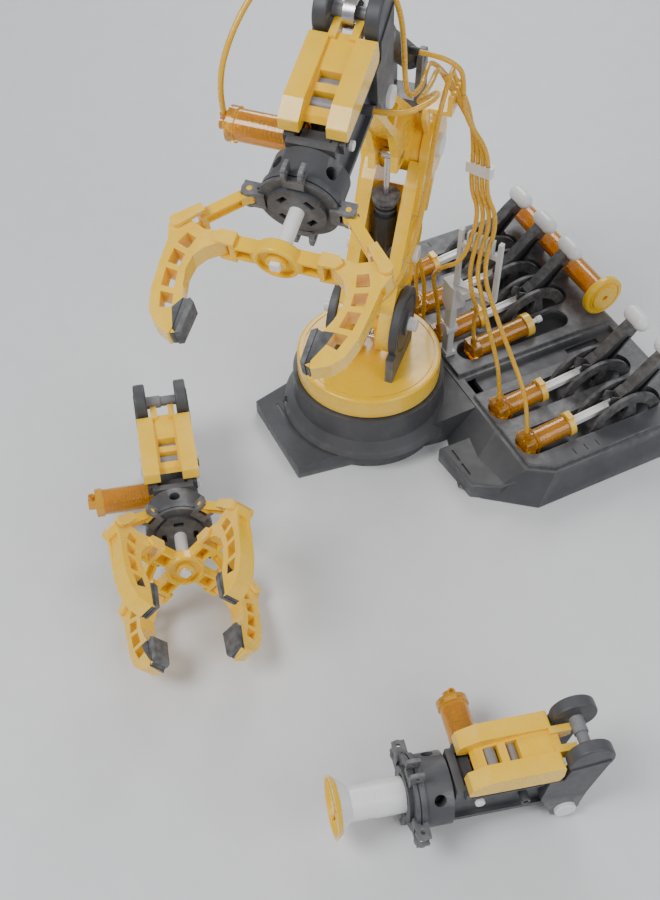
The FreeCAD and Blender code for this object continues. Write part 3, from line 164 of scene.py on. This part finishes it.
def hose(name, node, route, bodies):
    """One length of hose; it rides a body, or, when it runs between two bodies, is baked in place and rides neither.
    """
    points = spline_points(name, route)
    piece = tube_mesh(name, points, HOSE_DIAMETER / 2)
    if len(bodies) == 1:
        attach(piece, bodies[0])
    else:
        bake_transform(piece)
    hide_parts(node)
    HOSES.append(piece)


comb_hoses = {
    "elbow": ([(-28, 91.5, 48.5), (-28, 88.5, 74), (-26, 82, 100), (-20, 74, 126), (-4, 72, 148)], -9),
    "roll": ([(3, 111.5, 47.5), (3.5, 108, 74), (13, 104, 97), (24, 94, 116), (26, 85, 140)], -3),
    "grip": ([(81, 91.5, 48.5), (81, 88.5, 74), (77, 85, 100), (60, 84, 124), (42, 86, 144)], 3),
    "tilt": ([(127, 91.5, 48.5), (127, 88.5, 74), (118, 86, 102), (92, 86, 122), (62, 88, 140)], 9),
}
for key, (route, slot) in comb_hoses.items():
    hose("riser_" + key, "hose_riser", route + comb_run(slot), ("root", "turntable"))
hose("riser_slew", "hose_riser",
     [(-116, 91.5, 48.5), (-116, 88.5, 76), (-112, 84, 104), (-98, 80, 126), (-74, 77, 135),
      (-54, 78, 122), (-48.5, 83, 96), (-50, 87, 66), (-50, 87, 33)], ("root",))
hose("riser_shoulder", "hose_riser",
     [(-72, 91.5, 48.5), (-72, 89, 76), (-72, 90, 108), (-69, 84, 134), (-59, 70, 150),
      (-47, 53, 148), arm(0, 57.5, 130), arm(0, 57.5, 108)], ("root", "turntable"))

bundle = {
    "elbow": bracket_run(-9, 80) + in_arm([(36, 80, 324), (38.5, 72, 332.5)]),
    "roll": bracket_run(-3, 74) + in_arm([(36, 74, 322), (30, 66, 334)]),
    "grip": bracket_run(3, 68) + in_arm([(36, 68, 322), (34, 58, 335)]),
    "tilt": bracket_run(9, 62) + in_arm([(51, 60, 320)]),
}
for key, route in bundle.items():
    hose("bundle_" + key, "hose_bundle", route, ("turntable", "boom"))
hose("boom_elbow", "hose_bundle",
     onward(bundle["elbow"], 12) + in_arm([(41, 41, 336), (40, 22, 310), (40, 12, 278), (39, 2, 246),
     (37, -14, 216), (30, -29, 192), (16, -36, 172), (3, -26, 162), (0, -4, 160), (0, 20, 160)]), ("boom",))

fore = {
    "roll": onward(bundle["roll"], 17) + in_arm([(25, 36, 346.5), (27, 19, 346), (27, 2, 352)]),
    "grip": onward(bundle["grip"], 17) + in_arm([(33, 24, 346), (33, 0, 352)]),
    "tilt": onward(bundle["tilt"], 17) + in_arm([(46, 53, 348), (32, 47.7, 356.9), (12.8, 47.7, 356.9)]),
}
for key, route in fore.items():
    hose("fore_" + key, "hose_fore", route, ("boom", "forearm"))

wrist = {
    "roll": onward(fore["roll"], 18) + in_arm([(27, -30, 384), (27, -36, 414), (25, -44, 444), (16, -54, 470),
            (-4, -64, 488), (-28, -76, 490), (-50, -92, 478), (-64, -114, 452), (-69, -132.9, 421.2),
            (-69, -124.0, 391.8)]),
    "grip": onward(fore["grip"], 18) + in_arm([(46, -34, 376), (59, -56, 396), (59, -80, 403),
            (43, -97.1, 399.7), (21.8, -97.1, 399.7)]),
}
for key, route in wrist.items():
    hose("wrist_" + key, "hose_wrist", route, ("forearm", "wrist"))

# ---------------------------------------------------------------- materials


def plastic(name, colour, roughness, spread=0.10, grain=900.0, bump=0.06, coat=0.0, wear=0.12, dust=0.0,
            transmission=0.0, subsurface=0.0, metallic=0.0):
    """Moulded plastic: mottled colour and gloss, a fine skin texture, and paler worn edges."""
    m = bpy.data.materials.new(name)
    m.use_nodes = True
    nodes, links = m.node_tree.nodes, m.node_tree.links
    shader = nodes["Principled BSDF"]
    place = nodes.new("ShaderNodeTexCoord")

    def noise(scale, detail, rough=0.6):
        n = nodes.new("ShaderNodeTexNoise")
        n.inputs["Scale"].default_value = scale
        n.inputs["Detail"].default_value = detail
        n.inputs["Roughness"].default_value = rough
        links.new(place.outputs["Object"], n.inputs["Vector"])
        return n.outputs["Fac"]

    def span(value, low, high, from_low=0.3, from_high=0.7):
        r = nodes.new("ShaderNodeMapRange")
        r.inputs["From Min"].default_value = from_low
        r.inputs["From Max"].default_value = from_high
        r.inputs["To Min"].default_value = low
        r.inputs["To Max"].default_value = high
        links.new(value, r.inputs["Value"])
        return r.outputs["Result"]

    def mix(factor, a, b):
        n = nodes.new("ShaderNodeMix")
        n.data_type = "RGBA"
        links.new(factor, n.inputs["Factor"])
        for socket, colour_or_link in ((n.inputs["A"], a), (n.inputs["B"], b)):
            if isinstance(colour_or_link, tuple):
                socket.default_value = (*colour_or_link, 1.0)
            else:
                links.new(colour_or_link, socket)
        return n.outputs["Result"]

    dark = tuple(c * (1 - spread) for c in colour)
    light = tuple(min(1.0, c * (1 + spread * 0.6) + 0.004) for c in colour)
    body = mix(span(noise(38.0, 4.0), 0.0, 1.0), dark, light)
    edge = nodes.new("ShaderNodeNewGeometry")
    worn = nodes.new("ShaderNodeMath")
    worn.operation = "MULTIPLY"
    links.new(span(edge.outputs["Pointiness"], 0.0, wear, 0.53, 0.62), worn.inputs[0])
    links.new(span(noise(160.0, 3.0), 0.2, 1.0), worn.inputs[1])
    pale = tuple(c + (1 - c) * 0.45 for c in colour)
    body = mix(worn.outputs[0], body, pale)
    if dust:
        up = nodes.new("ShaderNodeSeparateXYZ")
        links.new(edge.outputs["Normal"], up.inputs["Vector"])
        settle = nodes.new("ShaderNodeMath")
        settle.operation = "MULTIPLY"
        links.new(span(up.outputs["Z"], 0.0, dust, 0.3, 1.0), settle.inputs[0])
        links.new(span(noise(70.0, 6.0), 0.1, 1.0), settle.inputs[1])
        body = mix(settle.outputs[0], body, tuple(c + (0.55 - c) * 0.5 for c in colour))
    links.new(body, shader.inputs["Base Color"])
    links.new(span(noise(120.0, 5.0), max(0.02, roughness - 0.07), roughness + 0.09), shader.inputs["Roughness"])
    skin = nodes.new("ShaderNodeBump")
    skin.inputs["Strength"].default_value = bump
    skin.inputs["Distance"].default_value = 0.0004
    links.new(noise(grain, 3.0, 0.7), skin.inputs["Height"])
    links.new(skin.outputs["Normal"], shader.inputs["Normal"])
    shader.inputs["IOR"].default_value = 1.5
    shader.inputs["Metallic"].default_value = metallic
    shader.inputs["Coat Weight"].default_value = coat
    shader.inputs["Coat Roughness"].default_value = 0.12
    shader.inputs["Transmission Weight"].default_value = transmission
    shader.inputs["Subsurface Weight"].default_value = subsurface
    shader.inputs["Subsurface Radius"].default_value = (0.004, 0.002, 0.0008)
    return m


LOOKS = {
    "dark_grey": plastic("dark_grey_abs", (0.060, 0.062, 0.068), 0.44, 0.16, 1400, 0.16, 0.0, 0.32, 0.07),
    "black": plastic("black_abs", (0.020, 0.020, 0.022), 0.50, 0.16, 1400, 0.15, 0.0, 0.30, 0.05),
    "yellow": plastic("yellow_abs", (0.98, 0.58, 0.006), 0.27, 0.06, 700, 0.035, 0.35, 0.22, 0.0, 0.0, 0.04),
    "grey": plastic("grey_abs", (0.19, 0.19, 0.20), 0.42, 0.12, 1200, 0.12, 0.0, 0.30, 0.04),
    # amber: a darker, more orange copy of the yellow plastic, with strong subsurface; its darker tone is painted shade
    # for the parts on the side turned away from the light
    "amber": plastic("yellow_abs_painted_shade", (0.98, 0.50, 0.03), 0.09, 0.05, 500, 0.02, 0.25, 0.12, 0.0, 0.72),
    "white": plastic("white_abs", (0.84, 0.84, 0.83), 0.30, 0.04, 800, 0.04, 0.25, 0.10, 0.0, 0.0, 0.05),
    "lever_black": plastic("lever_black_abs", (0.026, 0.026, 0.029), 0.34, 0.16, 1200, 0.09, 0.15, 0.30, 0.05),
    "light_grey": plastic("light_grey_abs", (0.56, 0.57, 0.58), 0.44, 0.07, 1200, 0.09, 0.0, 0.20, 0.0),
    "steel": plastic("steel_wire", (0.60, 0.60, 0.62), 0.26, 0.08, 1800, 0.12, 0.0, 0.10, 0.0, 0.0, 0.0, 1.0),
    "hose": plastic("soft_yellow_tube", (0.96, 0.56, 0.03), 0.24, 0.06, 600, 0.03, 0.2, 0.08, 0.0, 0.30, 0.25),
}
PAD = plastic("pad_rubber", (0.030, 0.031, 0.034), 0.62, 0.18, 1600, 0.25, 0.0, 0.30, 0.06)

SLOT_OF = {row["node"]: row["material_slot"] for row in frame["record"]["subparts"]}
for node, obj in NODES.items():
    look = LOOKS[SLOT_OF[node]]
    if not obj.material_slots:
        obj.data.materials.append(look)
    for entry in obj.material_slots:
        entry.material = look
for piece in HOSES:
    piece.data.materials.append(LOOKS["hose"])


def paint(node, look, test):
    """Give a second material to the faces of a CAD node whose centres pass a test."""
    mesh = NODES[node].data
    mesh.materials.append(look)
    index = len(mesh.materials) - 1
    for polygon in mesh.polygons:
        if test(polygon.center):
            polygon.material_index = index


def solid_boxes(mesh):
    """The lowest and highest corner of each separate solid of a mesh."""
    bm = bmesh.new()
    bm.from_mesh(mesh)
    bmesh.ops.remove_doubles(bm, verts=bm.verts, dist=1e-6)
    bm.faces.ensure_lookup_table()
    seen, groups = set(), []
    for face in bm.faces:
        if face.index in seen:
            continue
        stack, group = [face], []
        seen.add(face.index)
        while stack:
            at = stack.pop()
            group.append(at)
            for edge in at.edges:
                for other in edge.link_faces:
                    if other.index not in seen:
                        seen.add(other.index)
                        stack.append(other)
        corners = [v.co for f in group for v in f.verts]
        low = Vector([min(c[i] for c in corners) for i in range(3)])
        high = Vector([max(c[i] for c in corners) for i in range(3)])
        groups.append((low, high))
    bm.free()
    return groups


def paint_small(node, look, count):
    """Give a second material to the smallest solids of a node, such as the pads of a claw."""
    groups = sorted(solid_boxes(NODES[node].data), key=lambda g: (g[1] - g[0]).length)[:count]

    def inside(p):
        return any(all(a[i] - 1e-5 <= p[i] <= b[i] + 1e-5 for i in range(3)) for a, b in groups)

    paint(node, look, inside)


KNOB_Y, KNOB_Z = 0.234, 0.090
KNOB_REACH = 0.0086

paint_small("claw_left", PAD, 1)
paint_small("claw_right", PAD, 1)
paint_small("grapple_head", PAD, 4)
for number in range(1, 6):
    paint("lever_%d" % number, LOOKS["white"],
          lambda p: math.hypot(p[1] - KNOB_Y, p[2] - KNOB_Z) < KNOB_REACH)

# ---------------------------------------------------------------- small pieces


def helix(name, to_row, body):
    """A wire spring along x in a local frame that to_row carries into the row frame."""
    steps = SPRING_TURNS * 18
    x0, x1 = SPRING_ENDS
    points = []
    for i in range(steps + 1):
        a = 2 * math.pi * i / 18
        x = x0 + (x1 - x0) * i / steps
        local = Vector((x, SPRING_AXIS[0] + SPRING_RADIUS * math.cos(a), SPRING_AXIS[1] + SPRING_RADIUS * math.sin(a)))
        points.append((to_row @ local) / 1000)
    spring = tube_mesh(name, points, SPRING_WIRE / 1000, 8)
    spring.data.materials.append(LOOKS["steel"])
    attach(spring, body)


def turn(axis, degrees):
    return Matrix.Rotation(math.radians(degrees), 4, axis)


WRIST_ROW = turn("Z", 44.4) @ Matrix.Translation((0, -56, 385)) @ turn("X", 16.9)
GRAPPLE_ROW = Matrix.Translation((-12, -195, 13.4655)) @ turn("Z", 74.4) @ turn("X", -9.4)
SUCKER_ROW = Matrix.Translation((398, -53, 11.5)) @ turn("Z", -14) @ turn("X", -3.1)
SPRING_AXIS = (-63.0, 21.0)
SPRING_RADIUS = 6.4
SPRING_ENDS = (-56.0, -24.0)
SPRING_TURNS = 11
SPRING_WIRE = 0.55
for label, row, body in (("wrist", WRIST_ROW, "wrist"), ("grapple", GRAPPLE_ROW, "root"),
                         ("sucker", SUCKER_ROW, "root")):
    helix("spring_" + label, row, body)

# ---------------------------------------------------------------- floor and light

bpy.ops.mesh.primitive_plane_add(size=8.0, location=(0, 0, -0.0005))
floor = bpy.context.object
floor.name = "floor"
floor.data.materials.append(plastic("floor_paint", (0.74, 0.75, 0.76), 0.55, 0.02, 60, 0.02, 0.0, 0.0))


def area(name, spot, target, size, power):
    """A round soft light at a spot, turned to face a target."""
    light = bpy.data.lights.new(name, "AREA")
    light.shape = "DISK"
    light.size = size
    light.energy = power
    obj = bpy.data.objects.new(name, light)
    obj.location = spot
    obj.rotation_euler = (Vector(target) - Vector(spot)).to_track_quat("-Z", "Y").to_euler()
    bpy.context.collection.objects.link(obj)


AIM = (0.08, 0.0, 0.15)
area("key", (0.2, -1.3, 1.7), AIM, 0.9, 26)
area("fill", (1.6, 0.5, 1.2), AIM, 1.4, 13)
area("back", (-1.3, 0.9, 1.3), AIM, 1.0, 16)
world = bpy.data.worlds.new("studio")
bpy.context.scene.world = world
world.use_nodes = True
world.node_tree.nodes["Background"].inputs["Color"].default_value = (0.92, 0.94, 1.0, 1.0)
world.node_tree.nodes["Background"].inputs["Strength"].default_value = 0.42
